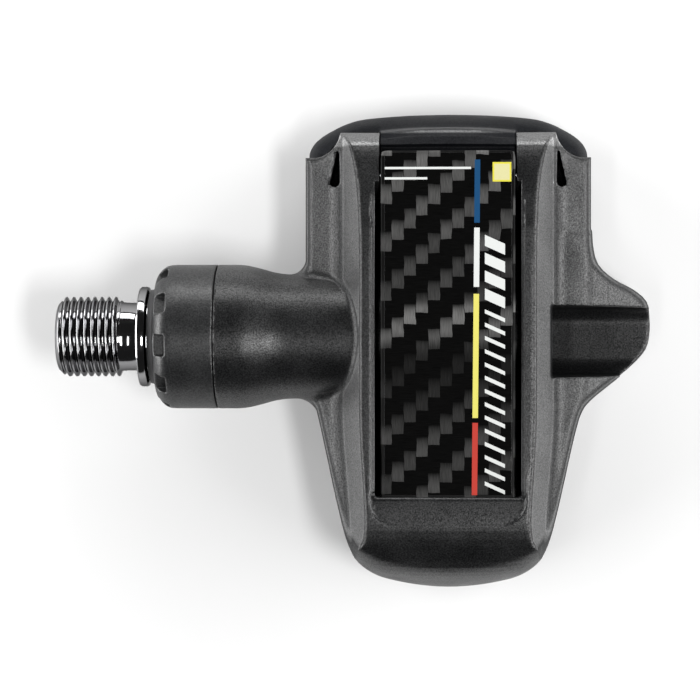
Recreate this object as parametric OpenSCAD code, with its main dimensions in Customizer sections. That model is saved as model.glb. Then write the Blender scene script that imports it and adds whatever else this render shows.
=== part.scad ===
// Clipless road pedal for the right-hand crank, lying with its blade side up.
// Origin: on the spindle's axis, in the plane of the flange face that seats on the crank.
// +X runs outboard along the spindle, +Y towards the rear jaw, +Z towards the blade side.
// The cleat clips onto the other side, at z = -stack.

/* [Spindle] */
// Major diameter of the crank thread, 9/16 inch
thread_d = 14.29; // [14.1:0.01:14.5]
// Pitch of the crank thread, 20 turns to the inch
thread_pitch = 1.27; // [1.2:0.01:1.3]
// Length of the threaded stretch
thread_len = 11.8; // [10:0.1:12]
// Width across the flats of the wrench socket in the threaded end
wrench_af = 8; // [6:0.5:8]
// Diameter of the flange that seats on the crank
flange_d = 17.9; // [17:0.1:18.5]

/* [Body] */
// Distance from the crank face to the middle of the pedal
stance = 55; // [54:0.5:57]
// Distance from the spindle's axis to the face that the cleat stands on
stack = 10.8; // [10.6:0.1:11]
// Width of the body across its flanks
body_w = 50.7; // [49:0.1:52]
// Reach of the nose in front of the spindle's axis
nose_reach = 45.2; // [44:0.1:46]
// Reach of the rear jaw behind the spindle's axis
jaw_reach = 40.5; // [40:0.1:41]
// Reach of the outboard wing from the middle of the pedal
wing_reach = 36.4; // [35:0.1:38]

/* [Blade] */
// Width of the leaf spring
blade_w = 23.4; // [22:0.1:23.6]
// Thickness of the leaf spring
blade_t = 2.6; // [2.2:0.1:2.7]
// Radius of the leaf spring's arch
blade_r = 400; // [350:10:500]

/* [Bearings] */
// Number of balls in the inboard bearing
ball_count = 12; // [8:1:12]
// Diameter of each ball, 3/32 inch
ball_d = 2.38; // [2:0.01:2.4]
// Number of rollers in the outboard bearing
roller_count = 16; // [10:1:18]

/* [Hidden] */
$fn = 96;
eps = 0.01;
far = 200;

// spindle
neck_len = 2.9;
flange_len = 1.6;
journal_r = 7.5;
seat_r = 6;
tip_r = 5;
tip_x = 70.4;
thread_root_r = thread_d / 2 - 0.6134 * thread_pitch;
end_x = -neck_len - thread_len;

// inboard ball bearing
bb_x = 9;
bb_w = 5;
bb_outer_r = 10.47;
bb_inner_r = seat_r + 0.02;
bb_pitch_r = 8.25;
bb_land = 0.9;
groove_r = ball_d / 2 + 0.05;

// outboard needle bearing
nb_x = 59;
nb_len = 11;
nb_outer_r = 6.97;
nb_wall = 0.47;
nb_pitch_r = 5.75;
roller_r = 0.72;
roller_len = 8.6;

// nut that seals and holds the bearing in the barrel
nut_x = 3.8;
nut_back_x = 13.7;
nut_r = 12.85;
nut_bore_r = 10.5;
spigot_r = 10.6;
spigot_x = 22;
notch_count = 10;
notch_w = 3.8;
notch_depth = 1.7;
notch_phase = 7.5;

// body
mid = stance;
platform_z = -(stack - 0.4);
plate_t = 0.8;
rail_top = 12.4;
rail_r = 3.2;
flank_z = 1.5;
rail_foot_h = 18.8;
rail_head_h = 15.2;
pocket_h = 12.85;
slot_h = 12;
pocket_front_y = -27.9;
shelf_front_y = -32.4;
pocket_rear_y = 24;
pocket_floor_z = -2;
housing_r = 9.2;
bore_r = 7.6;
barrel_x = 14.4;
waist_r = 11.1;
waist_x = 26;
nose_arc_r = 36;
nose_corner_r = 8.5;
nose_side_r = 14;
hook_z = -17.6;
hook_gap = 4.5;
hook_floor_z = platform_z - hook_gap;
body_rear_y = 36;
flank_rear_y = 31.6;
taper = 13.3;
taper_h = 17.9;
taper_y = -36.3;

// jaw and its pin
pin_r = 2;
pin_y = 27.2;
pin_z = 4.6;
pin_half = 18.6;
knuckle_r = 3.9;
jaw_half = 11.8;
jaw_gap = 0.3;
cam_y = pin_y + 3.8;
cam_z = pin_z + 0.4;
cam_gap = 0.04;
jaw_top_z = 3;
jaw_back_r = 150;
jaw_corner_r = 8;

// blade: an arch about an axis along X
blade_y = 1.5;
blade_top = 12.2;
blade_axis_z = blade_top - blade_r;
blade_front_y = -33.4;
blade_rear_y = 32.4;
film_t = 0.12;
film_edge = 0.7;
cam_r = blade_r - blade_t - norm([cam_y - blade_y, cam_z - blade_axis_z]) - cam_gap;

// revolves a profile of [radius, x] points about the spindle's axis
module lathe() rotate([0, 90, 0]) rotate_extrude() children();

// a cylinder along X from x0 to x1, with its axis at y, z
module bar(r, x0, x1, y = 0, z = 0) translate([x0, y, z]) rotate([0, 90, 0]) cylinder(r = r, h = x1 - x0);

// extrudes a [y, z] profile across the pedal, half to each side of its middle
module across(half) translate([mid - half, 0, 0]) rotate([90, 0, 90]) linear_extrude(2 * half) children();

// extrudes an [x from the middle, z] profile from y0 to y1
module lengthwise(y0, y1) translate([mid, y1, 0]) rotate([90, 0, 0]) linear_extrude(y1 - y0) children();

// extrudes a plan of [x from the middle, y] points from z0 to z1
module upright(z0, z1) translate([mid, 0, z0]) linear_extrude(z1 - z0) children();

// a block given by its limits, with x from the pedal's middle
module block(x0, x1, y0, y1, z0, z1) translate([mid + x0, y0, z0]) cube([x1 - x0, y1 - y0, z1 - z0]);

module both_sides() {
    children();
    translate([2 * mid, 0, 0]) mirror([1, 0, 0]) children();
}

// ---- spindle group

module thread_profile() {
    turns = floor(thread_len / thread_pitch);
    crest = thread_pitch / 6;
    start = end_x + 1.1;
    step = (-neck_len - start - crest) / turns;
    polygon(concat(
        [[0, end_x], [thread_root_r - 0.4, end_x]],
        [for (i = [0:turns]) each [[thread_d / 2, start + i * step], [thread_d / 2, start + i * step + crest],
            if (i < turns) [thread_root_r, start + (i + 0.5) * step + crest / 2]]],
        [[6.1, -neck_len + 0.7], [6.1, 0], [0, 0]]));
}

module axle() color("#55585c") difference() {
    union() {
        lathe() thread_profile();
        lathe() polygon([[0, 0], [flange_d / 2 - 0.3, 0], [flange_d / 2, 0.3], [flange_d / 2, flange_len - 0.3],
            [flange_d / 2 - 0.3, flange_len], [journal_r, flange_len], [journal_r, bb_x], [seat_r, bb_x],
            [seat_r, 57], [tip_r, 58.5], [tip_r, tip_x - 0.5], [tip_r - 0.5, tip_x], [0, tip_x]]);
    }
    // wrench socket
    translate([end_x - eps, 0, 0]) rotate([0, 90, 0]) cylinder(r = wrench_af / sqrt(3), h = 9, $fn = 6);
    // groove for the circlip
    lathe() translate([5.6, bb_x + bb_w + 0.05]) square([seat_r, 1]);
}

module axle_circlip() color("#33363a") difference() {
    lathe() translate([5.62, bb_x + bb_w + 0.1]) square([1.7, 0.9]);
    translate([bb_x, 0, -1.6]) cube([2 * bb_w, 10, 3.2]);
}

// ---- inboard ball bearing

module race_groove() lathe() translate([bb_pitch_r, bb_x + bb_w / 2]) circle(r = groove_r);

module inner_race() color("silver") difference() {
    lathe() translate([bb_inner_r, bb_x]) square([bb_pitch_r - bb_land - bb_inner_r, bb_w]);
    race_groove();
}

module outer_race() color("silver") difference() {
    lathe() translate([bb_pitch_r + bb_land, bb_x]) square([bb_outer_r - bb_pitch_r - bb_land, bb_w]);
    race_groove();
}

module bearing_shields() color("#23262a")
    for (x = [bb_x + 0.15, bb_x + bb_w - 0.45])
        lathe() translate([bb_pitch_r - bb_land + 0.12, x]) square([2 * bb_land - 0.14, 0.3]);

module on_ball_circle() for (i = [0:ball_count - 1])
    rotate([i * 360 / ball_count, 0, 0]) translate([bb_x + bb_w / 2, 0, bb_pitch_r]) children();

module balls() color("gainsboro") on_ball_circle() sphere(d = ball_d, $fn = 48);

module ball_cage() color("goldenrod") difference() {
    lathe() translate([bb_pitch_r - 0.5, bb_x + bb_w / 2 - 1]) square([1, 2]);
    on_ball_circle() sphere(r = groove_r, $fn = 48);
}

// ---- outboard needle bearing

module needle_cup() color("silver") lathe() polygon([
    [5.25, nb_x], [nb_outer_r, nb_x], [nb_outer_r, nb_x + nb_len], [5.25, nb_x + nb_len],
    [5.25, nb_x + nb_len - 0.45], [nb_outer_r - nb_wall, nb_x + nb_len - 0.45],
    [nb_outer_r - nb_wall, nb_x + 0.45], [5.25, nb_x + 0.45]]);

module on_roller_circle() for (i = [0:roller_count - 1])
    rotate([i * 360 / roller_count, 0, 0]) translate([nb_x + nb_len / 2, 0, nb_pitch_r]) rotate([0, 90, 0]) children();

module needle_rollers() color("gainsboro")
    on_roller_circle() cylinder(r = roller_r, h = roller_len, center = true, $fn = 32);

module needle_cage() color("goldenrod") difference() {
    lathe() translate([5.45, nb_x + 0.6]) square([0.6, nb_len - 1.2]);
    on_roller_circle() cylinder(r = roller_r + 0.04, h = roller_len + 0.1, center = true, $fn = 32);
}

// ---- seals and nut

module lip_seal() color("#2b2d2f") lathe() polygon([
    [journal_r + 0.06, 4.4], [journal_r + 0.5, 3.4], [journal_r + 0.3, 1.95], [8.35, 1.95], [8.8, 3.6],
    [nut_bore_r - 0.1, 4.4], [nut_bore_r - 0.03, 4.6], [nut_bore_r - 0.03, 7.6], [journal_r + 0.9, 7.6],
    [journal_r + 0.9, 6.2], [journal_r + 0.06, 5.6]]);

module bearing_circlip() color("#33363a") difference() {
    lathe() translate([9.55, bb_x - 0.95]) square([1.42, 0.9]);
    translate([0, -2, -far]) cube([bb_x + 1, 4, far - 8]);
}

module sealing_nut() color("#2e3032") difference() {
    union() {
        intersection() {
            lathe() translate([0, nut_x]) square([nut_r, nut_back_x - nut_x]);
            // rounded shoulder at the inboard face
            lathe() union() {
                translate([0, nut_x]) square([nut_r - 2.4, far]);
                translate([0, nut_x + 2.4]) square([nut_r, far]);
                translate([nut_r - 2.4, nut_x + 2.4]) circle(r = 2.4);
            }
        }
        lathe() translate([0, nut_back_x - eps]) square([11.25, 1]);
        lathe() translate([0, nut_back_x]) square([spigot_r, spigot_x - nut_back_x]);
    }
    lathe() translate([0, nut_x - 1]) square([nut_bore_r, bb_x + bb_w - nut_x + 1]);
    lathe() translate([0, nut_x]) square([8.6, far]);
    // groove for the bearing's circlip
    lathe() translate([0, bb_x - 1]) square([11, 1]);
    // castellations for the assembly tool
    for (i = [0:notch_count - 1])
        rotate([notch_phase + i * 360 / notch_count, 0, 0])
            translate([nut_x - 1, -notch_w / 2, 11.15]) cube([notch_depth + 1, notch_w, 5]);
}

module nut_o_ring() color("#17181a") lathe() translate([11.75, (nut_back_x + barrel_x) / 2]) circle(r = 0.34);

// ---- pedal body

// the nose's corner arcs meet the tapered flanks and the nose's own arc at these angles
nose_centre = [0, nose_arc_r - nose_reach];
side_normal = [cos(taper), -sin(taper)];
corner_d = side_normal * ([taper_h, taper_y] - nose_centre) - nose_corner_r;
corner_t = sqrt(pow(nose_arc_r - nose_corner_r, 2) - corner_d * corner_d);
corner_centre = nose_centre + corner_d * side_normal - corner_t * [sin(taper), cos(taper)];
nose_angle = atan2(corner_centre[1] - nose_centre[1], corner_centre[0]);
flank_y = taper_y + (body_w / 2 - taper_h) / tan(taper);

// points along an arc about c from angle a0 to a1
function arc(c, r, a0, a1, steps = 12) =
    [for (i = [0:steps]) let (a = a0 + (a1 - a0) * i / steps) c + r * [cos(a), sin(a)]];

// a closed outline from its right half, given from rear to front or from bottom to top
function both_halves(half) = concat(half, [for (i = [len(half) - 1:-1:0]) [-half[i][0], half[i][1]]]);

// the rails reach further back than the flanks, between the jaw's ends
module nose_plan() polygon(both_halves(concat(
    [[18.4, far], [18.4, flank_rear_y], [body_w / 2, flank_rear_y], [body_w / 2, flank_y]],
    arc(corner_centre, nose_corner_r, -taper, nose_angle),
    arc(nose_centre, nose_arc_r, nose_angle - 2, -89.5, 6))));

module side_profile() {
    nose_y = -nose_reach - 0.3;
    polygon(concat(
        arc([nose_y + 3, hook_z + 3], 3, 270, 180, 6),
        arc([nose_y + nose_side_r, rail_top - nose_side_r], nose_side_r, 180, 90),
        [[16, rail_top], [25, 11.7], [32.5, 9.4], [34.6, 8.1], [body_rear_y, 6.4], [body_rear_y, platform_z],
            [-33, platform_z], [-33, hook_z]]));
}

module cross_profile() polygon(both_halves([[body_w / 2, -far], [body_w / 2, flank_z],
    [body_w / 2 - 1, flank_z + 1.6], [rail_foot_h + 0.3, 5.4], [rail_foot_h - 0.5, 6.8], [rail_head_h, rail_top],
    [rail_head_h, far]]));

function waist(t) = waist_r + (nut_r - waist_r) * (1 + cos(180 * t)) / 2;

module barrel() lathe() polygon(concat(
    [[0, barrel_x], [nut_r - 0.3, barrel_x], [nut_r, barrel_x + 0.3]],
    [for (i = [0:8]) [waist(i / 8), 18 + i * (waist_x - 18) / 8]],
    [[waist_r, mid - rail_head_h], [0, mid - rail_head_h]]));

// the wing carries the cleat platform past the flank; its plan runs round from front to rear
module wing() intersection() {
    upright(platform_z, 6) {
        polygon([[18, -14.9], [22.4, -14.9], [25.4, -11.3], [29.4, -8.2], [33.4, -5.3],
            [wing_reach - 2.2, -3.4], [wing_reach - 0.9, -2.2], [wing_reach, 0.5], [wing_reach, 3.5],
            [wing_reach - 0.9, 6.3], [33.4, 8.5], [29.5, 10.3], [26.7, 12.7], [25.3, 15.8], [18, 15.8]]);
    }
    lengthwise(-30, 30) polygon([[10, -20], [40, -20], [40, -4], [wing_reach, -3.4], [body_w / 2 - 1, 3.1],
        [rail_foot_h, 5.4], [10, 5.4]]);
}

module nose_hook_cut() {
    // slot for the cleat's front tongue, under the hook
    block(-10.5, 10.5, -40.8, -30, hook_floor_z, platform_z + eps);
    // rounded rear edge of the hook
    translate([mid, -22, hook_z - 1]) cylinder(r = 14.5, h = platform_z - hook_z + 1);
}

module pedal_body() color("#3a3c3e") difference() {
    union() {
        difference() {
            union() {
                intersection() {
                    upright(-far, far) nose_plan();
                    across(40) side_profile();
                    lengthwise(-60, 60) cross_profile();
                }
                barrel();
                wing();
                // flat of the cleat platform under the barrel
                block(-31.5, -20, -8, 8, platform_z, -4);
            }
            // pocket under the blade
            block(-pocket_h, pocket_h, pocket_front_y, pocket_rear_y + eps, pocket_floor_z, far);
            // rebate of the pocket's front shelf
            block(-pocket_h, pocket_h, shelf_front_y, pocket_front_y + eps, 11.9, far);
            // the barrel is cut flat where the platform passes it
            block(-32, -10, -20, 20, -20, platform_z);
        }
        bar(housing_r, mid - rail_head_h, mid + rail_head_h);
    }
    // socket for the blade's front end
    intersection() {
        block(-blade_w / 2 - 0.15, blade_w / 2 + 0.15, blade_front_y - 0.2, pocket_front_y + eps, 0, far);
        difference() {
            bar(blade_r + 0.14, 0, 2 * mid, blade_y, blade_axis_z, $fn = 360);
            bar(blade_r - blade_t - 0.14, 0, 2 * mid, blade_y, blade_axis_z, $fn = 360);
        }
    }
    // space for the jaw's knuckle and tongue
    block(-slot_h, slot_h, pocket_rear_y, 40, pin_z - knuckle_r - jaw_gap, far);
    bar(pin_r, mid - 30, mid + 30, pin_y, pin_z);
    // openings beside the rails, at the pin's ends
    both_sides() {
        block(rail_foot_h + 0.1, 20.7, pin_y, flank_rear_y + 1, -3, far);
        translate([mid + 19.8, pin_y, -3]) cylinder(r = 1.3, h = 20);
    }
    // spindle bore, from the nut's socket to the needle bearing's seat
    lathe() polygon([[0, 0], [11.4, 0], [11.4, barrel_x + 0.4], [spigot_r + 0.05, barrel_x + 0.8],
        [spigot_r + 0.05, spigot_x + 0.2], [bore_r, spigot_x + 0.2], [bore_r, nb_x - 0.1],
        [7, nb_x - 0.1], [7, nb_x + nb_len + 0.3], [tip_r + 0.6, nb_x + nb_len + 0.9], [0, nb_x + nb_len + 0.9]]);
    // channel in the wing
    block(18.6, far, -7.6, 5.2, -7.4, far);
    nose_hook_cut();
    // seat of the wear plate and its screws
    upright(-20, -stack + plate_t) offset_plate(0.1);
    at_screws() cylinder(r = 1.5, h = 7.6);
    at_screws() screw_head(0.05);
}

// ---- cleat side

plate_points = [[-30.4, -5], [-30.4, 6], [-21.5, 15.5], [21.5, 15.5], [30.6, 7.2], [33.6, 4.6], [33.6, -0.6],
    [30.6, -4.4], [19.5, -15.5], [8, -15.5], [5, -20], [-5, -20], [-8, -15.5], [-19.5, -15.5]];

// the plate's outline grown a little about the pedal's middle, for its seat
module offset_plate(gap) polygon([for (p = plate_points) p * (1 + gap / norm(p))]);

module at_screws() for (x = [-16, 16], y = [-11.5, 11.5]) translate([mid + x, y, -stack]) children();

module screw_head(gap = 0) {
    translate([0, 0, -1]) cylinder(r = 2.5 + gap, h = 1 + eps);
    cylinder(r1 = 2.5 + gap, r2 = 1.5 + gap, h = 1.2);
}

module wear_plate() color("silver") difference() {
    upright(-stack, -stack + plate_t) polygon(plate_points);
    at_screws() screw_head(0.05);
    // weight-saving windows
    for (x = [-1, 1]) upright(-20, 0) polygon([[x * 9, -8], [x * 13, -4], [x * 13, 5], [x * 9, 9], [x * 6, 9], [x * 6, -8]]);
}

module plate_screws() color("dimgray") at_screws() difference() {
    union() {
        intersection() {
            screw_head();
            cylinder(r = 5, h = 5);
        }
        cylinder(r = 1.47, h = 7.4);
    }
    translate([0, 0, -eps]) cylinder(r = 1.15, h = 0.9, $fn = 6);
}

// ---- rear jaw

module jaw_plan() {
    corner = [body_w / 2 + 0.25 - jaw_corner_r, 0];
    back_y = jaw_reach - jaw_back_r;
    corner_y = back_y + sqrt(pow(jaw_back_r - jaw_corner_r, 2) - corner[0] * corner[0]);
    difference() {
        union() {
            intersection() {
                translate([0, back_y]) circle(r = jaw_back_r, $fn = 720);
                translate([-corner[0] - 1, 20]) square([2 * corner[0] + 2, 30]);
            }
            for (s = [-1, 1]) {
                translate([s * corner[0], corner_y]) circle(r = jaw_corner_r);
                translate([s * corner[0] - (s > 0 ? 4 : jaw_corner_r), 20])
                    square([jaw_corner_r + 4, corner_y - 20]);
            }
        }
        translate([-30, 0]) square([60, 30.5]);
    }
}

module jaw_profile() difference() {
    union() {
        polygon([[30.5, hook_z + 1.4], [32.4, hook_z], [37.5, hook_z], [jaw_reach, hook_z + 4], [50, hook_z + 4],
            [50, 0], [39, jaw_top_z], [30.5, jaw_top_z]]);
        translate([37.5, 0]) circle(r = 3);
    }
    // space for the cleat's tail under the lip
    translate([20, hook_floor_z]) square([body_rear_y + jaw_gap - 20, platform_z - hook_floor_z + 0.2]);
}

// the knuckle on the pin, the cam under the blade's tip, and the tongue that joins them to the jaw's back
module jaw_tongue() across(jaw_half) {
    translate([pin_y, pin_z]) circle(r = knuckle_r);
    translate([cam_y, cam_z]) circle(r = cam_r);
    polygon([[pin_y, pin_z - knuckle_r], [cam_y + 1, cam_z + cam_r - 0.35], [33.2, 7.7], [33.75, 8.8],
        [35, 8.1], [36.9, 6.4], [38.3, 4.9], [38.9, 3.4], [38.9, -2], [36.6, -2], [36.3, 0.7]]);
}

module rear_jaw() color("#232527") difference() {
    union() {
        intersection() {
            upright(hook_z, jaw_top_z) difference() {
                jaw_plan();
                // clear of the flanks beside the rails
                for (s = [-1, 1]) translate([s * 40 - 24.9, 0]) square([49.8, flank_rear_y + jaw_gap]);
            }
            across(40) jaw_profile();
        }
        jaw_tongue();
    }
    // clear of the body's rear end, under the lip and between the jaw's ends
    block(-18.4 - jaw_gap, 18.4 + jaw_gap, 0, body_rear_y + jaw_gap, hook_floor_z, pin_z - knuckle_r - jaw_gap + 0.01);
    both_sides() block(slot_h - 0.1, 18.4 + jaw_gap, 0, body_rear_y + jaw_gap, hook_floor_z, far);
    // concave edge that holds the cleat's tail
    translate([mid, 12, hook_z - 1]) cylinder(r = 19.6, h = hook_floor_z - hook_z + 1);
    bar(pin_r + 0.06, 0, 2 * mid, pin_y, pin_z);
}

module jaw_pin() color("silver") bar(pin_r - 0.01, mid - pin_half, mid + pin_half, pin_y, pin_z);

// ---- blade

module arch(inner, outer, half, y0, y1) intersection() {
    difference() {
        bar(outer, 0, 2 * mid, blade_y, blade_axis_z, $fn = 360);
        bar(inner, -1, 2 * mid + 1, blade_y, blade_axis_z, $fn = 360);
    }
    block(-half, half, y0, y1, 0, far);
}

module carbon_blade() color("#16181a") arch(blade_r - blade_t, blade_r, blade_w / 2, blade_front_y, blade_rear_y);

module blade_film() color("#1d1f22")
    arch(blade_r, blade_r + film_t, blade_w / 2 - film_edge, pocket_front_y + 0.25, blade_rear_y - 0.4);

axle();
axle_circlip();
inner_race();
outer_race();
bearing_shields();
ball_cage();
balls();
bearing_circlip();
lip_seal();
sealing_nut();
nut_o_ring();
needle_cup();
needle_cage();
needle_rollers();
pedal_body();
wear_plate();
plate_screws();
rear_jaw();
jaw_pin();
carbon_blade();
blade_film();
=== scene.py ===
import math

import bpy
import numpy as np
from mathutils import Matrix, Vector


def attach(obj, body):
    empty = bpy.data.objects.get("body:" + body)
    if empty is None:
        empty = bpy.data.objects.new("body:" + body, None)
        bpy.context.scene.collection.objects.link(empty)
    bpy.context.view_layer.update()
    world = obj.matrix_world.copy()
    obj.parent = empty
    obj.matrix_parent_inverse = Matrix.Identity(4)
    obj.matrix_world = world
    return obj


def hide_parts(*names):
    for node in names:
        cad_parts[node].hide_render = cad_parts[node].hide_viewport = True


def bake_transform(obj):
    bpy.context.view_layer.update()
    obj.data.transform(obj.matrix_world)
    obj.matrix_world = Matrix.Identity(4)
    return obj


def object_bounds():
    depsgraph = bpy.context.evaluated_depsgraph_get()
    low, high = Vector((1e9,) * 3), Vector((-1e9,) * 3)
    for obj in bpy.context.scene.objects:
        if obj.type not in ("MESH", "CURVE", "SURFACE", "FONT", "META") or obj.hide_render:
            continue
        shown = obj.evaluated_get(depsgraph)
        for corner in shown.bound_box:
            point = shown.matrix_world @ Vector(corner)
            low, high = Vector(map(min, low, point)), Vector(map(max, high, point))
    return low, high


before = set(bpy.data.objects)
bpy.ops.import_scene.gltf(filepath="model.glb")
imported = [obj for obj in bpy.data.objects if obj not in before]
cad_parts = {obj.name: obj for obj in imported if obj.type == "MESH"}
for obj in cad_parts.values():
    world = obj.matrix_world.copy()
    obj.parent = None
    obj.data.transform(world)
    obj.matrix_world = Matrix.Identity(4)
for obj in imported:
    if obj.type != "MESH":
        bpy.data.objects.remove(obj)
cad_low, cad_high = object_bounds()

MM = 0.001
FAR = 60.0  # beyond every side of the pedal

# driving dimensions, in mm
MID = 55.0  # from the crank face to the pedal's middle
PLATFORM = -10.4  # underside of the body; the wear plate stands 0.4 proud of it
HOOK = -17.6  # underside of the front hook and the rear lip
TOP = 12.4  # top of the rails
BLADE_R, BLADE_T, BLADE_Y = 400.0, 2.6, 1.5  # blade's arch radius, thickness and highest point
BLADE_Z = 12.2 - BLADE_R  # centre of the arch
PIN_Y, PIN_Z, PIN_R = 27.2, 4.6, 2.0  # jaw's hinge pin
JAW_REACH = 40.5  # rear end of the jaw


# ---------------------------------------------------------------- signed distances, in mm


def poly(px, py, pts):
    """Signed distance to a closed polygon, negative inside, for arrays that broadcast together."""
    pts = np.asarray(pts, float)
    d = np.full(np.broadcast(px, py).shape, 1e9)
    odd = np.zeros(d.shape, bool)
    for (ax, ay), (bx, by) in zip(pts, np.roll(pts, -1, 0)):
        ex, ey = bx - ax, by - ay
        wx, wy = px - ax, py - ay
        t = np.clip((wx * ex + wy * ey) / (ex * ex + ey * ey), 0, 1)
        d = np.minimum(d, (wx - ex * t) ** 2 + (wy - ey * t) ** 2)
        side = ex * wy - ey * wx
        odd ^= ((py >= ay) & (py < by) & (side > 0)) | ((py < ay) & (py >= by) & (side < 0))
    return np.where(odd, -1, 1) * np.sqrt(d)


def box(x, y, z, lo, hi, r=0.0):
    """Signed distance to a box from its two corners, with its edges rounded by r."""
    c, h = [(a + b) / 2 for a, b in zip(lo, hi)], [(b - a) / 2 - r for a, b in zip(lo, hi)]
    qx, qy, qz = np.abs(x - c[0]) - h[0], np.abs(y - c[1]) - h[1], np.abs(z - c[2]) - h[2]
    out = np.sqrt(np.maximum(qx, 0) ** 2 + np.maximum(qy, 0) ** 2 + np.maximum(qz, 0) ** 2)
    return out + np.minimum(np.maximum(qx, np.maximum(qy, qz)), 0) - r


def plane(u, v, point, normal):
    """Signed distance to a plane through a point, seen along its own edge."""
    return (u - point[0]) * normal[0] + (v - point[1]) * normal[1]


def rod(u, v, u0, v0, r):
    """Signed distance to an endless round rod, seen along its axis."""
    return np.sqrt((u - u0) ** 2 + (v - v0) ** 2) - r


def join(a, b, r):
    """Union with a fillet of radius r."""
    u, v = np.maximum(r - a, 0), np.maximum(r - b, 0)
    return np.maximum(r, np.minimum(a, b)) - np.sqrt(u * u + v * v)


def both(a, b, r):
    """Intersection with its edge rounded by r."""
    u, v = np.maximum(r + a, 0), np.maximum(r + b, 0)
    return np.minimum(-r, np.maximum(a, b)) + np.sqrt(u * u + v * v)


def cut(a, b, r):
    """a less b, with the cut's edge rounded by r."""
    return both(a, -b, r)


def ramp(v, a, b):
    """0 at a and 1 at b, smooth between them."""
    t = np.clip((v - a) / (b - a), 0, 1)
    return t * t * (3 - 2 * t)


def curve(points, steps=4):
    """A smooth open line through the points."""
    p = np.asarray(points, float)
    p = np.vstack([2 * p[0] - p[1], p, 2 * p[-1] - p[-2]])
    out = []
    for i in range(1, len(p) - 2):
        for k in range(steps):
            t = k / steps
            a, b, c, d = p[i - 1], p[i], p[i + 1], p[i + 2]
            out.append(0.5 * (2 * b + (c - a) * t + (2 * a - 5 * b + 4 * c - d) * t * t
                              + (3 * b - a - 3 * c + d) * t ** 3))
    out.append(p[-2])
    return np.array(out)


def arc(cx, cy, r, a0, a1, steps=10):
    """Points along an arc, from one angle to another in degrees."""
    a = np.radians(np.linspace(a0, a1, steps + 1))
    return np.stack([cx + r * np.cos(a), cy + r * np.sin(a)], 1)


# ---------------------------------------------------------------- distance field to mesh

PROBE = 0.01  # step for a slope
PULL_HOME = 0.03  # how strongly a cell's point keeps to the middle of its crossings
SMOOTH_REACH, EDGE_REACH = 0.1, 0.04  # how far directions are averaged, on a surface and beside an edge
EDGE_COS = 0.94  # a corner that turns away more than this from its face lies on an edge


def unit(v):
    return v / np.maximum(np.linalg.norm(v, axis=1, keepdims=True), 1e-9)


def settle(f, p, limit):
    """Moves points towards the surface by at most limit, and gives the outward directions there."""
    d = f(*p.T)
    g = np.empty_like(p)
    for k in range(3):
        q = p.copy()
        q[:, k] += PROBE
        g[:, k] = (f(*q.T) - d) / PROBE
    step = np.clip(d / np.maximum((g * g).sum(1), 1e-4), -limit, limit)
    return p - step[:, None] * g, unit(g)


def facing(f, p, e):
    """Outward directions, averaged over a small distance e so that facets don't show."""
    g = np.empty_like(p)
    for k in range(3):
        a, b = p.copy(), p.copy()
        a[:, k] += e
        b[:, k] -= e
        g[:, k] = f(*a.T) - f(*b.T)
    return unit(g)


def surface_cells(ins):
    """The cells that the surface passes through, and each cell's number."""
    shape = [n - 1 for n in ins.shape]
    count = np.zeros(shape, np.int8)
    for c in np.ndindex(2, 2, 2):
        count += ins[tuple(slice(c[k], shape[k] + c[k]) for k in range(3))]
    cells = np.argwhere((count > 0) & (count < 8))
    index = np.full(shape, -1, np.int64)
    index[tuple(cells.T)] = np.arange(len(cells))
    return cells, index


def crossings(v, ins, index, lo, h):
    """Where the grid's edges cross the surface, the four cells round each, and a quad of those cells."""
    hits, owners, quads = [], [], []
    for k in range(3):
        u, w = (k + 1) % 3, (k + 2) % 3
        s0, s1 = [slice(1, -1)] * 3, [slice(1, -1)] * 3
        s0[k], s1[k] = slice(0, -1), slice(1, None)
        e = np.argwhere(ins[tuple(s0)] != ins[tuple(s1)])
        e[:, u] += 1
        e[:, w] += 1
        top = e.copy()
        top[:, k] += 1
        fa, fb = v[tuple(e.T)], v[tuple(top.T)]
        hit = e.astype(float)
        hit[:, k] += fa / (fa - fb)
        hits.append(hit * h + lo)
        ring = []
        for du, dw in ((1, 1), (0, 1), (0, 0), (1, 0)):
            c = e.copy()
            c[:, u] -= du
            c[:, w] -= dw
            ring.append(index[tuple(c.T)])
        q = np.stack(ring, 1)
        owners.append(q.copy())
        q[fa >= 0] = q[fa >= 0][:, ::-1]
        quads.append(q)
    return np.vstack(hits), np.vstack(owners).ravel(), np.vstack(quads)


def cell_points(hits, n, owner, m):
    """For each of m cells, the point that lies best on the planes at its crossings."""
    q4, n4 = np.repeat(hits, 4, 0), np.repeat(n, 4, 0)

    def total(w):
        return np.bincount(owner, w, m)

    num = np.maximum(np.bincount(owner, minlength=m), 1)
    mean = np.stack([total(q4[:, k]) for k in range(3)], 1) / num[:, None]
    along = (n4 * q4).sum(1)
    ata, atb = np.empty((m, 3, 3)), np.empty((m, 3))
    for i in range(3):
        atb[:, i] = total(n4[:, i] * along)
        for j in range(i, 3):
            ata[:, i, j] = ata[:, j, i] = total(n4[:, i] * n4[:, j])
    atb -= np.einsum("nij,nj->ni", ata, mean)
    normal_matrix = ata / num[:, None, None] + PULL_HOME * np.eye(3)
    return mean + np.linalg.solve(normal_matrix, (atb / num[:, None])[:, :, None])[:, :, 0]


def corner_directions(f, p, quads):
    """A direction for each quad's corner, which takes its own face's side where the surface has an edge."""
    corner = facing(f, p, SMOOTH_REACH)[quads]
    a, b, c, d = (p[quads[:, k]] for k in range(4))
    face = np.cross(c - a, d - b)
    face /= np.maximum(np.linalg.norm(face, axis=1, keepdims=True), 1e-12)
    rows, cols = np.nonzero((corner * face[:, None, :]).sum(2) < EDGE_COS)
    middle = (a + b + c + d) / 4
    corner[rows, cols] = facing(f, p[quads[rows, cols]] * 0.6 + middle[rows] * 0.4, EDGE_REACH)
    return corner.reshape(-1, 3)


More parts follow.
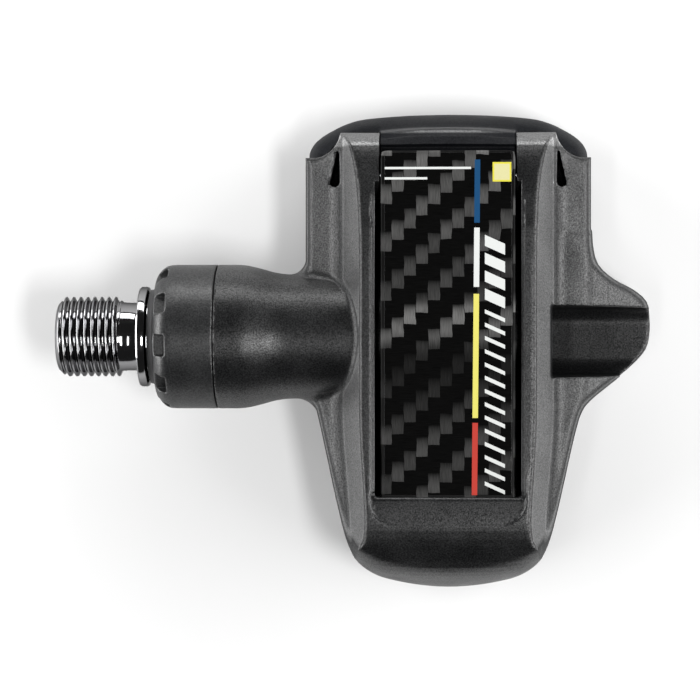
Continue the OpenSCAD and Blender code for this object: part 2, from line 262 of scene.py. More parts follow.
def surface(f, lo, hi, h):
    """Dual contouring of f = 0 on a grid of pitch h: points, quads and a direction for each quad's corner."""
    lo = np.array(lo, float)
    axes = [np.arange(lo[k], hi[k] + h, h) for k in range(3)]
    v = f(axes[0][:, None, None], axes[1][None, :, None], axes[2][None, None, :])
    v = np.ascontiguousarray(np.broadcast_to(v, [len(a) for a in axes])).astype(np.float32)
    ins = v < 0
    cells, index = surface_cells(ins)
    hits, owner, quads = crossings(v, ins, index, lo, h)
    hits, n = settle(f, hits, h / 2)
    p = np.clip(cell_points(hits, n, owner, len(cells)), cells * h + lo, (cells + 1) * h + lo)
    return p, quads, corner_directions(f, p, quads)


def mesh_piece(name, p, faces, normals=None):
    """A smooth-shaded object from points in mm and faces."""
    me = bpy.data.meshes.new(name)
    me.from_pydata((np.asarray(p) * MM).tolist(), [], [list(map(int, q)) for q in faces])
    me.polygons.foreach_set("use_smooth", [True] * len(me.polygons))
    me.update()
    if normals is not None:
        me.normals_split_custom_set(normals.tolist())
    ob = bpy.data.objects.new(name, me)
    bpy.context.scene.collection.objects.link(ob)
    return ob


# ---------------------------------------------------------------- pedal body

# right half of the outline from above: x from the middle, y
OUTLINE = np.vstack([
    [[-FAR, 36], [18.95, 36]], arc(24, 36.8, 5.1, 189, 263, 8), [[25.35, 31.8], [25.35, 12], [25.35, -2]],
    curve([[25.3, -4.5], [24.7, -7.6], [22.95, -14.9], [21.35, -22], [19.8, -29], [18.1, -35.6],
           [16.9, -38.6], [15.2, -41], [12.6, -42.85], [9.3, -43.95], [4.8, -44.85], [0, -45.2],
           [-4.8, -44.85]], 3),
    [[-FAR, -44.85]]])

# side view: y, z; the nose's arc in front and the fall to the jaw behind
NOSE_R = 14.6
SIDE = np.vstack([
    [[-52, HOOK - 4], [-52, -8.4]],
    arc(-30.9, TOP - NOSE_R, NOSE_R, 148, 90, 10),
    [[14, TOP]], curve([[19, 12.25], [25, 11.7], [29, 10.8], [32.6, 9.4], [34.6, 7.9], [36, 5.2]], 3),
    [[37, 2.4], [37, PLATFORM - 4], [-33, PLATFORM - 4], [-33, HOOK - 4]]])

# barrel's turned section: x from the crank face, radius
BARREL = np.vstack([
    [[14.1, 0], [14.1, 12.72], [14.23, 12.85]],
    curve([[17.6, 12.85], [19.2, 12.7], [20.8, 12.36], [22.4, 11.93], [24, 11.5], [25.6, 11.22],
           [27.4, 11.1], [29, 11.1]], 6),
    [[45, 11.1], [45, 0]]])

# outboard wing from above
WING = np.vstack([
    [[10, 18.5], [25.4, 18.5]],
    curve([[25.55, 16.5], [26.7, 12.9], [29.5, 10.35], [33.1, 8.5], [35.6, 6.4], [36.38, 3.5],
           [36.4, 0.5], [35.7, -2.3], [33.1, -5.3], [29.5, -8.1], [26.5, -10.4], [24.8, -11.9],
           [23.3, -13.9], [22.3, -16.3], [21.2, -20], [20, -25]], 3),
    [[10, -25]]])

# spindle's bore, stepped for the nut, the clearance and the needle bearing
BORE = [[13.0, -1], [13.0, 11.4], [14.8, 11.4], [15.2, 10.65], [22.2, 10.65], [22.2, 7.6], [58.9, 7.6],
        [58.9, 7.0], [70.3, 7.0], [70.9, 5.6], [70.9, -1]]

PLATE_OUTLINE = [[-30.4, -5], [-30.4, 6], [-21.5, 15.5], [21.5, 15.5], [30.6, 7.2], [33.6, 4.6], [33.6, -0.6],
                 [30.6, -4.4], [19.5, -15.5], [8, -15.5], [5, -20], [-5, -20], [-8, -15.5], [-19.5, -15.5]]

RAIL_NORMAL, HOLLOW_NORMAL = (0.87, 0.493), (0.924, 0.383)  # a rail's outer slope, and the hollow's floor
POCKET_HALF, POCKET_FRONT, POCKET_BACK = 12.75, -27.9, 24
LANE_HALF, LANE_DEPTH = 13.35, 0.75  # lane for the film's edges, along the pocket's rim
BASIN_HALF, BASIN_FRONT = 13.2, -32.3  # shallow basin ahead of the blade
BASIN_FALL = 0.115  # slope of its floor towards the blade
HOUSING_R, HOUSING_HALF = 9.2, 14.5  # spindle's housing across the pocket
SOCKET_HALF, SOCKET_END, SOCKET_GAP = 11.85, -33.6, 0.16  # the blade's clamped end, and its play
KNUCKLE_HALF = 12.0  # half the width of the slot for the jaw's knuckle
PIN_HALF = 17.8  # half the length of the pin's hole
WING_TOP = 5.4
CHANNEL_START, CHANNEL_LENGTH = 18.3, 18  # channel in the wing, from the middle outwards
CHANNEL_Y, CHANNEL_HALF, CHANNEL_Z = -0.85, 5.8, -8.9  # its middle, half its width and its deepest place
HOOK_LIP = 2.7  # thickness of the front hook's lip
SEAT_Z = -10.0  # seat of the wear plate
FIT = 0.1  # gap round a fitted piece


def bridge(ax, y, z):
    """The side view's section, hollowed beside the rails."""
    rail_half = 15.2 - 1.1 * ramp(-y, 12, 37)
    wall = -plane(ax, z, (rail_half, TOP), RAIL_NORMAL)
    floor = -plane(z, ax, (5.35, 18.9), HOLLOW_NORMAL)
    tip = -(y + 38.2)
    hollow = both(both(wall, tip, 3.0), floor, 1.2)
    return cut(poly(y, z, SIDE), hollow, 0.5)


def wing(x, y, z):
    """The outboard wing, whose top falls away to its tip."""
    lid = both(z - WING_TOP, plane(z, x, (3.1, 24.35), (0.88, 0.475)), 2.0)
    return both(both(poly(x, y, WING), lid, 1.6), -(z - PLATFORM), 0.5)


def outer_form(x, y, z, rho):
    """The moulding's outside: bridge, barrel, wing and the platform's flat beside the barrel."""
    ax = np.abs(x)
    rounding = 0.2 + 1.1 * ramp(-y, -34, -30) + 3.4 * ramp(-y, 34, 40)
    hull = both(bridge(ax, y, z), poly(ax, y, OUTLINE), rounding)
    hull = join(hull, poly(x + MID, rho, BARREL), 3.0 - 2.2 * ramp(z, 0, 6))
    hull = join(hull, wing(x, y, z), 0.9)
    hull = join(hull, box(x, y, z, (-31.5, -8, PLATFORM), (-20, 8, -4), 0.6), 1.5)
    underside = np.where(y < -33, HOOK - z, PLATFORM - z)
    return both(hull, underside, 0.3 + 2.2 * ramp(-y, 38, 42))


def with_blade_bay(hull, x, y, z):
    """Cuts the pocket under the blade, the lane for its film and the basin ahead of it."""
    ax = np.abs(x)
    # upright behind up to z = 7.4, and leaning back above it
    leaning = (y - POCKET_BACK - 0.78 * (z - 7.4)) * 0.79
    back = np.minimum(y - POCKET_BACK, np.maximum(7.4 - z, leaning))
    pocket = box(x, y, z, (-POCKET_HALF, POCKET_FRONT, -2), (POCKET_HALF, 30, 40), 0.5)
    hull = cut(hull, np.maximum(pocket, back), 0.2)
    lane = box(x, y, z, (-LANE_HALF, POCKET_FRONT - 0.05, TOP - LANE_DEPTH), (LANE_HALF, 30, 40), 0.2)
    hull = cut(hull, np.maximum(lane, back), 0.15)
    basin = box(x, y, z, (-BASIN_HALF, BASIN_FRONT, 0), (BASIN_HALF, POCKET_FRONT + 0.4, 40), 0.3)
    basin = np.maximum(basin, TOP - 0.05 - BASIN_FALL * (y - BASIN_FRONT) - z)
    corners = np.sqrt(np.maximum(ax - 9.5, 0) ** 2 + np.maximum(-(y + 28.6), 0) ** 2) - 3.7
    return cut(hull, np.maximum(basin, corners), 0.7)


def body_sdf(x, y, z):
    x = x - MID
    ax = np.abs(x)
    rho = np.sqrt(y * y + z * z)
    hull = with_blade_bay(outer_form(x, y, z, rho), x, y, z)
    # spindle's housing across the pocket
    hull = join(hull, np.maximum(rho - HOUSING_R, ax - HOUSING_HALF), 0.8)
    # knuckle's slot and the pin's hole
    slot = box(x, y, z, (-KNUCKLE_HALF, 22, PIN_Z - 4.2), (KNUCKLE_HALF, 60, 60), 0.1)
    hull = cut(hull, slot, 0.12)
    hull = cut(hull, np.maximum(rod(y, z, PIN_Y, PIN_Z, PIN_R), ax - PIN_HALF), 0.1)
    # blade's socket
    arch = np.abs(rod(y, z, BLADE_Y, BLADE_Z, BLADE_R) + BLADE_T / 2) - BLADE_T / 2 - SOCKET_GAP
    socket = np.maximum(np.maximum(arch, ax - SOCKET_HALF), np.maximum(SOCKET_END - y, y + 20))
    hull = cut(hull, socket, 0.1)
    # drop-shaped openings beside the rails
    drop = poly(ax, y, np.vstack([[[19.2, 32.7]], arc(20.0, 27.3, 0.9, 185, 350, 8), [[19.6, 32.7]]]))
    hull = cut(hull, np.maximum(drop, -3 - z), 0.18)
    # channel in the wing, whose floor rises to the tip
    walls = np.abs(y - CHANNEL_Y) - CHANNEL_HALF - 0.045 * (z + 7.2)
    out = (x - CHANNEL_START) / CHANNEL_LENGTH
    channel_floor = -(z - CHANNEL_Z - 2.6 * out + 0.7 * out * out)
    hull = cut(hull, both(both(channel_floor, walls, 2.8), CHANNEL_START - x, 0.5), 0.5)
    # spindle's bore
    hull = cut(hull, poly(x + MID, rho, BORE), 0.1)
    # front hook for the cleat's tongue
    hull = cut(hull, box(x, y, z, (-10.5, -40.8, HOOK + HOOK_LIP), (10.5, -25, PLATFORM), 0.3), 0.3)
    hull = cut(hull, np.maximum(rod(x, y, 0, -22, 14.5), z - PLATFORM), 0.5)
    # seat of the wear plate
    return cut(hull, np.maximum(poly(x, y, PLATE_OUTLINE) - FIT, z - SEAT_Z), 0.1)


# ---------------------------------------------------------------- rear jaw

# right half from above, and the sections across the shell and the tongue: y, z
JAW_OUTLINE = np.vstack([
    [[-FAR, -20], [-FAR, JAW_REACH]],
    curve([[-3, JAW_REACH], [0, JAW_REACH], [7.5, 40.33], [14.8, 39.75], [18.3, 38.95], [20.9, 37.8],
           [23, 36.55], [24.5, 35.2], [25.35, 33.6], [25.55, 32], [25.6, 28]], 3),
    [[25.6, -20]]])
JAW_SECTION = np.vstack([
    [[10, 8.6], [28, 7.2]],
    curve([[33, 6.3], [35, 5.6], [36.3, 4.8], [37.2, 3.8], [38.2, 2.2], [39.1, -0.2], [39.8, -3.6],
           [40.3, -8.2], [40.5, -13.2], [39.9, -15], [38.3, -16.9], [36.6, -17.6]], 3),
    [[10, -17.6]]])
TONGUE = [[27.2, 0.7], [32, 8.1], [33.2, 7.75], [33.7, 8.75], [35.2, 8.2], [36.3, 7.4], [36.6, 6.9],
          [36.9, 5.2], [37.6, 3.0], [38.6, -0.6], [38.9, -2], [36.6, -2], [36.3, 0.7]]
JAW_HALF = 25.6
LIP_TOP = -14.9  # top of the lip that holds the cleat's tail
KNUCKLE_R = 3.85
CAM_Y, CAM_Z, CAM_R = 31.0, 5.0, 3.45
SIDE_PLAY, PIN_PLAY = 0.18, 0.06  # the knuckle's play in its slot and on its pin


def jaw_sdf(x, y, z):
    x = x - MID
    ax = np.abs(x)
    reach = JAW_REACH + poly(ax, y, JAW_OUTLINE)
    shell = poly(reach, z + 1.8 * ramp(ax, 15, 22) * ramp(z, -14, -4), JAW_SECTION)
    shell = both(shell, 30.6 - y, 0.4)
    # clear of the pedal's rear end, above the lip
    above_lip = -(z - LIP_TOP)
    gap = both(poly(ax, y, OUTLINE) - FIT, above_lip, 0.1)
    gap = np.minimum(gap, np.maximum(np.maximum(ax - 17, y - 36.1), above_lip))
    shell = cut(shell, gap, 0.1)
    # the lip's front edge curves round the cleat's tail
    shell = cut(shell, np.maximum(rod(x, y, 0, 12, 19.6), z + 14.0), 0.4)
    shell = both(shell, ax - JAW_HALF, 0.5)
    # arm with its knuckle, and the cam that lifts the blade
    tongue = poly(y + 0.0056 * x * x * ramp(y, 33, 36), z, TONGUE)
    knuckle = rod(y, z, PIN_Y, PIN_Z, KNUCKLE_R)
    cam = rod(y, z, CAM_Y, CAM_Z, CAM_R)
    arm = both(join(np.minimum(tongue, knuckle), cam, 0.5), ax - (KNUCKLE_HALF - SIDE_PLAY), 0.12)
    return cut(join(shell, arm, 0.7), rod(y, z, PIN_Y, PIN_Z, PIN_R + PIN_PLAY), 0.1)


# ---------------------------------------------------------------- sealing nut

NUT_SECTION = np.vstack([
    [[3.0, 9.0], [4.1, 9.0], [4.1, 10.5], [8, 10.5], [8, 11], [9, 11], [9, 10.5], [14, 10.5], [14, 8.6],
     [22, 8.6], [22, 10.6], [14.7, 10.6], [14.7, 11.25], [13.85, 11.25], [13.85, 12.72], [13.72, 12.85]],
    curve([[6.6, 12.85], [5.5, 12.75], [4.6, 12.4], [3.8, 11.7], [3.25, 10.8], [3.0, 9.7]], 4)])
NOTCHES = 10
NOTCH_TURN = math.radians(7.5)
NOTCH_HALF, NOTCH_END, NOTCH_R = 1.9, 5.5, 11.15  # half width, where it ends along x, radius of its floor


def nut_sdf(x, y, z):
    rho = np.sqrt(y * y + z * z)
    step = 2 * math.pi / NOTCHES
    turn = (np.arctan2(-y, z) - NOTCH_TURN + step / 2) % step - step / 2
    notch = both(np.abs(rho * np.sin(turn)) - NOTCH_HALF, x - NOTCH_END, 0.35)
    notch = both(notch, NOTCH_R - rho * np.cos(turn), 0.2)
    return cut(poly(x, rho, NUT_SECTION), notch, 0.25)


# ---------------------------------------------------------------- wear plate

PLATE_WINDOW = [[9, -8], [13, -4], [13, 5], [9, 9], [6, 9], [6, -8]]
PLATE_Z, PLATE_HALF = -10.4, 0.4  # middle of the plate and half its thickness
SCREWS = [(sx * 16.0, sy * 11.5) for sx in (-1, 1) for sy in (-1, 1)]
SCREW_R = 2.55


def plate_sdf(x, y, z):
    x = x - MID
    slab = np.abs(z - PLATE_Z) - PLATE_HALF
    out = both(both(poly(x, y, PLATE_OUTLINE), slab, 0.15), -poly(np.abs(x), y, PLATE_WINDOW), 0.12)
    for sx, sy in SCREWS:
        hole = rod(x, y, sx, sy, SCREW_R)
        sink = (hole + (z - PLATE_Z + PLATE_HALF) * 0.833) * 0.77
        out = cut(out, np.maximum(hole, sink), 0.08)
    return out


# ---------------------------------------------------------------- swept and turned meshes


def rings_mesh(name, rings, angle):
    """A skin over rings of equal length, closed at both ends, with its edges sharp above an angle."""
    n = len(rings[0])
    faces = []
    for i in range(len(rings) - 1):
        for j in range(n):
            k = (j + 1) % n
            faces.append((i * n + j, i * n + k, (i + 1) * n + k, (i + 1) * n + j))
    faces.append(tuple(range(n - 1, -1, -1)))
    faces.append(tuple(range((len(rings) - 1) * n, len(rings) * n)))
    ob = mesh_piece(name, np.vstack(rings), faces)
    ob.data.set_sharp_from_angle(angle=math.radians(angle))
    return ob


THREAD_R, PITCH, DEPTH = 7.145, 1.27, 0.779
CREST, ROOT = 0.09, 0.11  # half the flats on the thread's crests and in its roots
RING_STEP = 0.08
END_X = -14.7  # threaded end, from the crank face
CHAMFER_R, CHAMFER_SLOPE = 5.9, 0.95
RUN_OUT, RUN_OUT_LENGTH = -3.1, 0.7  # where the thread starts to fade into the neck
CORE_R = 6.15
HEX_HALF, HEX_DEPTH = 4.0, 9  # wrench socket

# neck, flange, journals and tip: x from the crank face, radius
TURNED = ((-2.4, 6.1), (-0.5, 6.1), (-0.15, 6.25), (0, 6.6), (0, 8.5), (0.08, 8.8), (0.3, 8.95),
          (1.25, 8.95), (1.5, 8.8), (1.6, 8.5), (1.6, 7.6), (1.75, 7.5), (8.9, 7.5), (9, 7.4), (9, 6),
          (14.05, 6), (14.05, 5.6), (15.05, 5.6), (15.05, 6), (57, 6), (58.5, 5), (69.9, 5),
          (70.25, 4.85), (70.4, 4.5), (70.4, 0.1))


def spindle():
    """The spindle with its hex socket and a true helix for the crank thread."""
    a = np.linspace(0, 2 * math.pi, 120, endpoint=False)
    hexa = HEX_HALF / np.cos(np.radians((np.degrees(a) - 90) % 60 - 30))

    def ring(x, r):
        r = np.broadcast_to(r, a.shape)
        return np.stack([np.full(a.shape, float(x)), r * np.cos(a), r * np.sin(a)], 1)

    socket = ((HEX_DEPTH, hexa * 0.02), (HEX_DEPTH, hexa), (0.5, hexa), (0.12, hexa + 0.12), (0, hexa + 0.45),
              (0, 5.55), (0.06, 5.75))
    rings = [ring(END_X + depth, r) for depth, r in socket]
    x = END_X + 0.2
    while x < -2.5:
        u = np.abs((x / PITCH - a / (2 * math.pi)) % 1 - 0.5) * PITCH
        r = THREAD_R - np.clip((u - CREST) / (PITCH / 2 - CREST - ROOT), 0, 1) * DEPTH
        r = np.minimum(r, CHAMFER_R + (x - END_X) * CHAMFER_SLOPE)
        fade = min(max((RUN_OUT - x) / RUN_OUT_LENGTH, 0), 1)
        rings.append(ring(x, np.where(r > CORE_R, CORE_R + (r - CORE_R) * fade, r)))
        x += RING_STEP
    rings += [ring(x, r) for x, r in TURNED]
    ob = rings_mesh("spindle", rings, 32)
    me = ob.data
    # the thread's own edges stay smooth, because they climb through the rings
    x = np.array([v.co.x for v in me.vertices]) / MM
    r = np.array([math.hypot(v.co.y, v.co.z) for v in me.vertices]) / MM
    on_thread = (x > END_X + 0.15) & (x < -2.3) & (r > 5)
    sharp = me.attributes["sharp_edge"].data
    for e in me.edges:
        if on_thread[e.vertices[0]] and on_thread[e.vertices[1]]:
            sharp[e.index].value = False
    return ob


def leaf(name, half, y0, y1, r0, r1, edge, corner=0.0, stations=60):
    """An arched leaf between y0 and y1 and between two radii, with UV = millimetres across and along.

    half is half its width, edge rounds its edges, and corner rounds its four corners from above.
    """
    pos = np.linspace(y0 + edge, y1 - edge, stations)
    spots = [(y, 0.0, 0.0) for y in pos]
    for k, sign in ((0, -1), (-1, 1)):
        extra = [(pos[k] + sign * edge * math.sin(t), edge * (1 - math.cos(t)), sign * t)
                 for t in np.radians([30, 60, 90])]
        spots = extra[::-1] + spots if k == 0 else spots + extra
    rings, dirs = [], []
    for y, inset, tip in spots:
        lo, hi = r0 + inset, r1 - inset
        near = min(y - y0, y1 - y)
        h = half - inset
        if corner:
            h -= corner - math.sqrt(max(corner ** 2 - max(corner - near, 0) ** 2, 0))
        e = min(edge, (hi - lo) / 2 - 0.001)
        pts, nor = [], []
        for cx, cr, a0 in ((1, 1, 0), (-1, 1, 90), (-1, -1, 180), (1, -1, 270)):
            for t in np.radians(np.linspace(a0, a0 + 90, 5)):
                pts.append((cx * (h - e) + e * math.cos(t), (hi - e if cr > 0 else lo + e) + e * math.sin(t)))
                nor.append((math.cos(t), math.sin(t)))
        pts, nor = np.array(pts), np.array(nor) * math.cos(tip)
        phi = math.asin((y - BLADE_Y) / BLADE_R)
        sp, cp = math.sin(phi), math.cos(phi)
        place = [MID + pts[:, 0], BLADE_Y + pts[:, 1] * sp, BLADE_Z + pts[:, 1] * cp]
        rings.append(np.stack(place, 1)[::-1])
        turned = [nor[:, 0], nor[:, 1] * sp + math.sin(tip) * cp, nor[:, 1] * cp - math.sin(tip) * sp]
        dirs.append(np.stack(turned, 1)[::-1])
    ob = rings_mesh(name, rings, 60)
    ob.data.normals_split_custom_set_from_vertices(np.vstack(dirs).tolist())
    uv = ob.data.uv_layers.new(name="mm")
    co = np.array([v.co for v in ob.data.vertices]) / MM
    loops = np.array([lp.vertex_index for lp in ob.data.loops])
    uv.data.foreach_set("uv", np.stack([co[loops, 0] - MID, co[loops, 1]], 1).ravel())
    return ob


# ---------------------------------------------------------------- materials


class Graph:
    """A material's node tree with short names for its sums."""

    def __init__(self, name):
        self.mat = bpy.data.materials.new(name)
        self.mat.use_nodes = True
        self.nt = self.mat.node_tree
        self.bsdf = self.nt.nodes["Principled BSDF"]

    def node(self, kind, **props):
        n = self.nt.nodes.new(kind)
        for k, v in props.items():
            setattr(n, k, v)
        return n

    def put(self, socket, value):
        if isinstance(value, (int, float, tuple)):
            socket.default_value = value
        else:
            self.nt.links.new(value, socket)

    def math(self, op, *args):
        n = self.node("ShaderNodeMath", operation=op)
        for s, v in zip(n.inputs, args):
            self.put(s, v)
        return n.outputs[0]

    def product(self, *args):
        """All the arguments multiplied together."""
        out = args[0]
        for a in args[1:]:
            out = self.math("MULTIPLY", out, a)
        return out

    def band(self, v, a, b):
        """1 where v is between a and b."""
        return self.math("COMPARE", v, (a + b) / 2, (b - a) / 2)

    def mix(self, fac, a, b):
        n = self.node("ShaderNodeMix", data_type="RGBA")
        for s, v in ((n.inputs[0], fac), (n.inputs[6], a), (n.inputs[7], b)):
            self.put(s, (*v, 1) if isinstance(v, tuple) else v)
        return n.outputs[2]

    def scaled(self, vector, factors):
        n = self.node("ShaderNodeVectorMath", operation="MULTIPLY")
        self.put(n.inputs[0], vector)
        n.inputs[1].default_value = factors
        return n.outputs[0]

    def combine(self, a, b):
        n = self.node("ShaderNodeCombineXYZ")
        self.put(n.inputs[0], a)
        self.put(n.inputs[1], b)
        return n.outputs[0]

    def separate(self, vector):
        n = self.node("ShaderNodeSeparateXYZ")
        self.put(n.inputs[0], vector)
        return n.outputs

    def noise(self, vector, scale, detail=2.0, rough=0.5):
        n = self.node("ShaderNodeTexNoise")
        self.put(n.inputs["Vector"], vector)
        n.inputs["Scale"].default_value = scale
        n.inputs["Detail"].default_value = detail
        n.inputs["Roughness"].default_value = rough
        return n.outputs["Fac"]

    def ramp(self, fac, stops):
        r = self.node("ShaderNodeValToRGB")
        while len(r.color_ramp.elements) < len(stops):
            r.color_ramp.elements.new(0.5)
        for e, (pos, col) in zip(r.color_ramp.elements, stops):
            e.position, e.color = pos, (*col, 1)
        self.put(r.inputs["Fac"], fac)
        return r.outputs["Color"]

    def span(self, v, a, b, low=0.0, high=1.0):
        """a where v is low or less, b where it is high or more."""
        n = self.node("ShaderNodeMapRange")
        self.put(n.inputs["Value"], v)
        for k, x in (("From Min", low), ("From Max", high), ("To Min", a), ("To Max", b)):
            n.inputs[k].default_value = x
        return n.outputs[0]

    def bump(self, height, strength, distance):
        n = self.node("ShaderNodeBump")
        n.inputs["Strength"].default_value = strength
        n.inputs["Distance"].default_value = distance
        self.put(n.inputs["Height"], height)
        self.nt.links.new(n.outputs[0], self.bsdf.inputs["Normal"])

    def set(self, **values):
        for k, v in values.items():
            s = self.bsdf.inputs[k.replace("_", " ")]
            self.put(s, (*v, 1) if isinstance(v, tuple) else v)

    def coordinates(self, kind="Object"):
        return self.node("ShaderNodeTexCoord").outputs[kind]


GLOSS_TOP = 1.5  # a colour ramp holds 1 at most, so it holds the gloss as a share of this


def tilt_gloss(g, facing_share, stops):
    """Gloss by how far a face tilts away from the view."""
    return g.ramp(facing_share, [(f, (v / GLOSS_TOP,) * 3) for f, v in stops])


def inside_zone(g, at, y0, y1, z0):
    """1 between two places along y and above z0, in mm, with soft borders."""
    xyz = g.separate(at)
    return g.product(g.span(xyz[1], 0, 1, (y0 - 0.4) * MM, y0 * MM),
                     g.span(xyz[1], 1, 0, y1 * MM, (y1 + 0.3) * MM),
                     g.span(xyz[2], 0, 1, (z0 - 0.5) * MM, z0 * MM))


def grained(name, dark, light, rough, sheen, ends=None, grain=0.26, height=0.02, speckle=0.3, zone=None):
    """Moulded composite: short-fibre speckle, and gloss by tilt.

    Faces turned to the front or rear take the gloss in ends, and zone is (y0, y1, z0, gain).
    """
    g = Graph(name)
    at = g.coordinates()
    fine = g.noise(at, 1000 / grain, 2.0, 0.6)  # grain in mm
    broad = g.noise(at, 160, 3.0, 0.55)
    fibres = g.math("MULTIPLY_ADD", broad, 0.35, fine)
    g.set(Base_Color=g.ramp(fibres, [(0.42, dark), (0.95, light)]),
          Roughness=g.span(broad, rough - 0.05, rough + 0.05, 0.3, 0.7))
    g.bump(fine, 0.8, height * MM)
    layer = g.node("ShaderNodeLayerWeight")
    layer.inputs["Blend"].default_value = 0.5
    gloss = tilt_gloss(g, layer.outputs["Facing"], sheen)
    if ends:
        other = tilt_gloss(g, layer.outputs["Facing"], ends)
        normal = g.separate(g.coordinates("Normal"))
        x, y = (g.math("ABSOLUTE", normal[k]) for k in (0, 1))
        share = g.span(g.math("SUBTRACT", y, x), 0, 1, -0.2, 0.2)
        gloss = g.mix(share, gloss, other)
    grains = g.span(fine, GLOSS_TOP * (1 - speckle), GLOSS_TOP * (1 + speckle), 0.35, 0.65)
    gloss = g.math("MULTIPLY", gloss, grains)
    if zone:
        *borders, gain = zone
        gloss = g.math("MULTIPLY", gloss, g.math("MULTIPLY_ADD", inside_zone(g, at, *borders), gain - 1, 1.0))
    # the flat value serves an export that drops the link
    g.bsdf.inputs["Specular IOR Level"].default_value = sheen[0][1]
    g.set(Specular_IOR_Level=gloss)
    return g.mat


def metal(name, dark, light, rough, stretch=(1, 1, 1), scale=900, height=0.004, strength=0.3):
    """Turned or ground metal: fine marks stretched along the work, and slow colour variation."""
    g = Graph(name)
    at = g.coordinates()
    marks = g.noise(g.scaled(at, stretch), scale, 3.0, 0.6)
    broad = g.noise(at, 120, 2.0, 0.5)
    g.set(Base_Color=g.ramp(broad, [(0.3, dark), (0.7, light)]), Metallic=1.0,
          Roughness=g.span(marks, rough * 0.7, rough * 1.35, 0.3, 0.7))
    g.bump(marks, strength, height * MM)
    return g.mat


def soft(name, colour, rough):
    """Rubber or nylon: matt, with a faint bloom."""
    g = Graph(name)
    at = g.coordinates()
    bloom = g.noise(at, 300, 3.0, 0.6)
    light = tuple(min(1.0, c * 1.5 + 0.004) for c in colour)
    g.set(Base_Color=g.ramp(bloom, [(0.3, colour), (0.75, light)]),
          Roughness=g.span(bloom, rough - 0.08, rough + 0.08))
    g.bump(g.noise(at, 2500, 2.0, 0.5), 0.2, 0.01 * MM)
    return g.mat


TOW = 2.1  # width of a carbon tow
WEAVE_SHIFT = (-0.357, -0.839)  # where the twill starts, in tows
TOW_LENGTH = (1.68, 0.22)  # shortest float of a tow and how much more it may be, in tows
# painted sheen along the blade, put into the light tows' base colour, as the place in mm and the brightness
# of the light tows there:
# even in front, nearly dark, a bright band at the middle, and a steady rise to the rear
PAINTED_SHEEN_ALONG_BLADE = ((-28, 0.35), (-20, 0.35), (-10, 0.15), (-4, 0.1), (0, 0.7), (4, 0.95), (7, 0.3), (20, 0.5),
             (32, 0.75))


def painted_sheen_along(g, v):
    """The light tows' brightness at v, a painted sheen along the blade, on a smooth curve through the points
    above.
    """
    (front, front_light), *between, (rear, rear_light) = PAINTED_SHEEN_ALONG_BLADE
    node = g.node("ShaderNodeFloatCurve")
    points = node.mapping.curves[0].points
    for place, light in between:
        points.new((place - front) / (rear - front), light)
    points[0].location, points[-1].location = (0, front_light), (1, rear_light)
    node.mapping.update()
    g.put(node.inputs["Value"], g.span(v, 0.0, 1.0, front, rear))
    return node.outputs[0]


def weave(g, u, v):
    """A 2x2 twill: its colour, with painted sheen along the blade and on each tow, where a tow runs along the
    blade, and that tow's fibres.
    """
    wobble = g.noise(g.combine(u, v), 0.45, 1.0)
    u = g.math("ADD", u, g.math("MULTIPLY_ADD", wobble, 0.5, -0.25))
    v = g.math("ADD", v, g.math("MULTIPLY_ADD", wobble, -0.4, 0.2))
    us, vs = (g.math("MULTIPLY_ADD", w, 1 / TOW, shift) for w, shift in zip((u, v), WEAVE_SHIFT))
    column = g.math("FLOOR", us)
    step = g.math("SUBTRACT", vs, column)
    along = g.math("FLOORED_MODULO", step, 4.0)
    across = g.math("SUBTRACT", us, column)
    # a tow's end pulls in as it dives under its neighbour
    jitter = g.node("ShaderNodeTexWhiteNoise")
    g.put(jitter.inputs["Vector"], g.combine(column, g.math("FLOOR", g.math("DIVIDE", step, 4.0))))
    draw = jitter.outputs["Value"]
    start = g.math("MULTIPLY_ADD", draw, 0.18, 0.05)
    end = g.math("MULTIPLY_ADD", draw, TOW_LENGTH[1], TOW_LENGTH[0])
    warp = g.product(g.math("GREATER_THAN", along, start), g.math("LESS_THAN", along, end),
                     g.band(across, 0.02, 0.98))
    fibres, cross_fibres = (
        g.noise(g.combine(g.math("MULTIPLY", u, a), g.math("MULTIPLY", v, b)), 1.0, 2.0, 0.7)
        for a, b in ((9.0, 0.35), (0.35, 9.0)))
    # random tone for each tow, times the painted sheen along the blade
    tone_and_painted_sheen = g.product(g.math("MULTIPLY_ADD", draw, 0.5, 0.75), painted_sheen_along(g, v))
    # painted sheen: each light tow is painted brightest a third of the way along and darker towards its ends,
    # standing in for light on its curve
    off_painted_crown = g.math("POWER", g.math("SUBTRACT", along, 0.6), 2.0)
    painted_crown_sheen = g.math("SUBTRACT", 1.0, g.math("MULTIPLY", off_painted_crown, 0.6))
    # the light tows' colour, with both painted sheens in it
    light = g.product(g.span(fibres, 0.047, 0.108, 0.3, 0.7), tone_and_painted_sheen, painted_crown_sheen)
    dark = g.span(cross_fibres, 0.0005, 0.0022, 0.3, 0.7)
    shade = g.math("ADD", g.product(warp, light), g.product(g.math("SUBTRACT", 1.0, warp), dark))
    colour = g.node("ShaderNodeCombineColor")
    for s, f in zip(colour.inputs, (1.0, 0.99, 0.97)):
        g.put(s, g.math("MULTIPLY", shade, f))
    return colour.outputs[0], warp, fibres


PRINT_WHITE = (0.42, 0.43, 0.42)
STRIPE = ((19.75, 30.75, (0.0075, 0.04, 0.10)), (8.6, 18.9, PRINT_WHITE),
          (-14.15, 7.4, (0.43, 0.40, 0.09)), (-27.6, -15.0, (0.30, 0.033, 0.025)))


